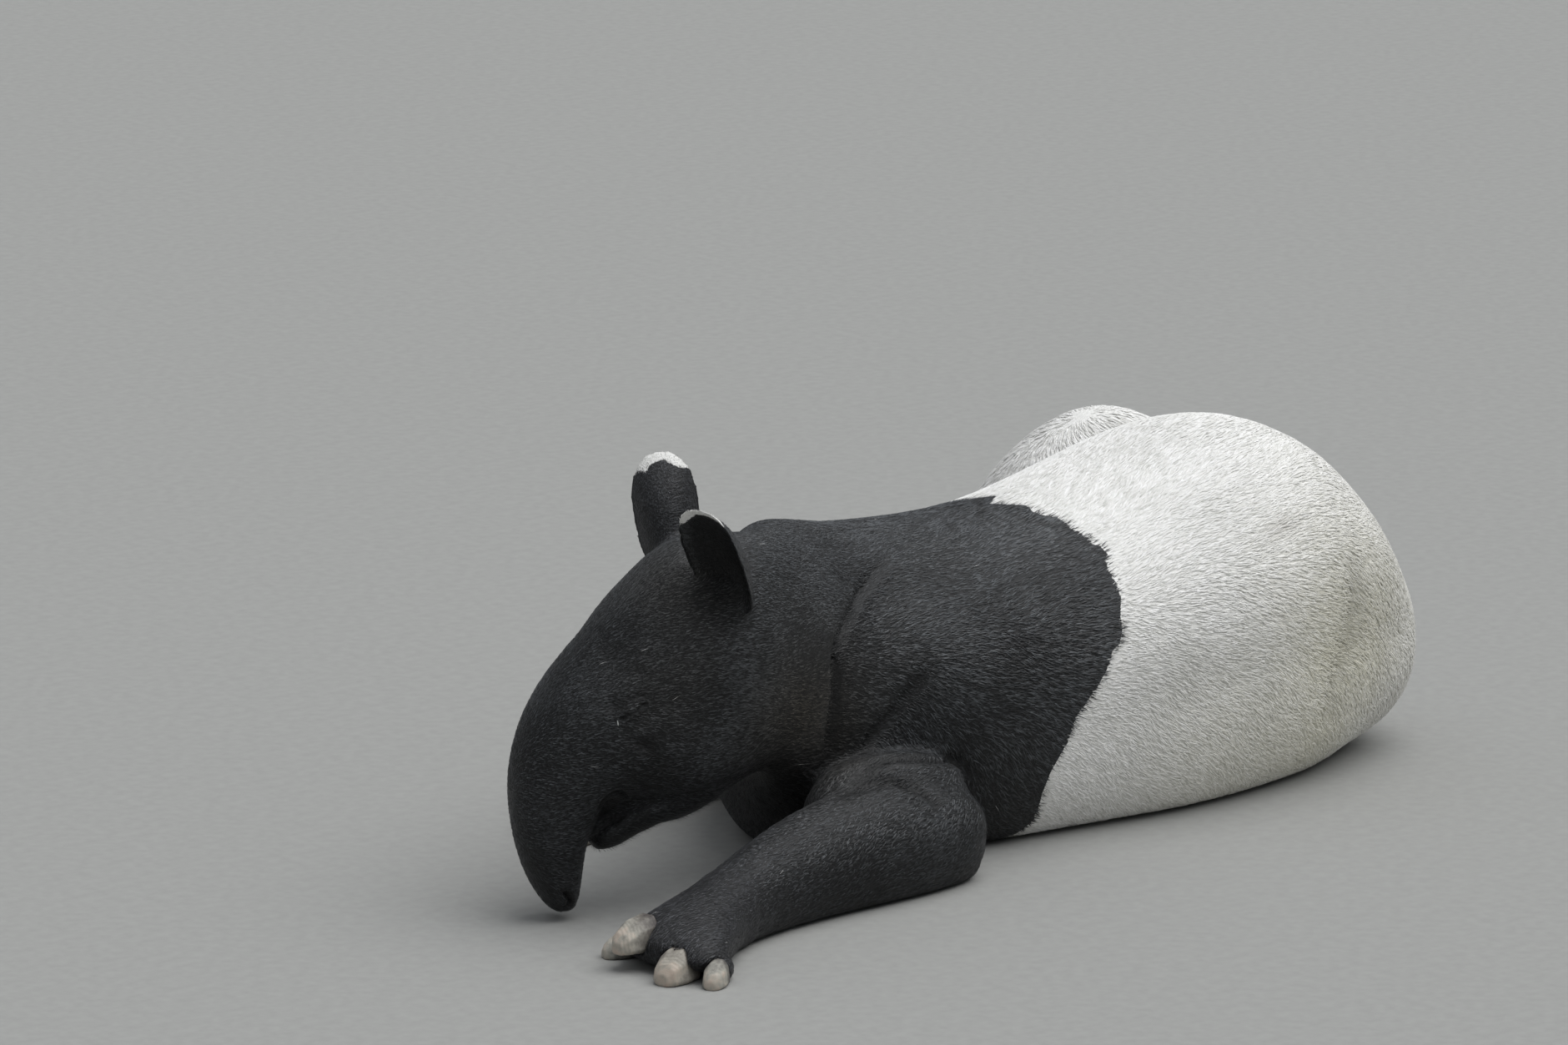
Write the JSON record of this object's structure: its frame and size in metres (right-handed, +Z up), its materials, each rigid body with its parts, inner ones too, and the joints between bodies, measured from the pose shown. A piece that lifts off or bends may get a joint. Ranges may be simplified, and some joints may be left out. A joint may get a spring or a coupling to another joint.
{
  "type": "malayan tapir",
  "caption": "Malayan tapir resting on its chest, head hanging to the floor, forelegs stretched forward and hind legs folded; black with a white saddle.",
  "frame": {"origin": "middle of the animal's outline on the floor it rests on", "axes": "+X towards the rump, +Y towards the animal's right, +Z up"},
  "size_m": [1.5452, 0.972, 0.5501],
  "materials": {
    "black_coat": "short dark grey-black fur, faint sheen",
    "white_coat": "short off-white fur, matt",
    "hoof_horn": "smooth worn horn",
    "eye": "wet dark eye under closed lids"
  },
  "bodies": {
    "root": {"hoof_foreleft_a": "hoof_horn", "hoof_foreleft_b": "hoof_horn", "hoof_foreleft_c": "hoof_horn", "hoof_foreleft_d": "hoof_horn", "hoof_foreright_a": "hoof_horn", "hoof_foreright_b": "hoof_horn", "hoof_foreright_c": "hoof_horn", "hoof_foreright_d": "hoof_horn", "hoof_hindright_a": "hoof_horn", "hoof_hindright_b": "hoof_horn", "hoof_hindright_c": "hoof_horn", "hoof_hindleft_a": "hoof_horn", "hoof_hindleft_b": "hoof_horn", "hoof_hindleft_c": "hoof_horn", "neck": "black_coat", "shoulders": "black_coat", "saddle": "white_coat", "hindleg_left_thigh": "white_coat", "eye_left": "eye", "eye_right": "eye", "head": "black_coat", "jaw": "black_coat", "ear_left": "black_coat", "ear_right": "black_coat", "foreleg_left_forearm": "black_coat", "foreleg_left_foot": "black_coat", "foreleg_left_upper": "black_coat", "foreleg_right_forearm": "black_coat", "foreleg_right_foot": "black_coat", "hindleg_right_foot": "black_coat", "hindleg_right_shank": "black_coat", "hindleg_right_thigh": "white_coat", "hindleg_left_foot": "black_coat", "tail": "white_coat"}
  },
  "joints": []
}
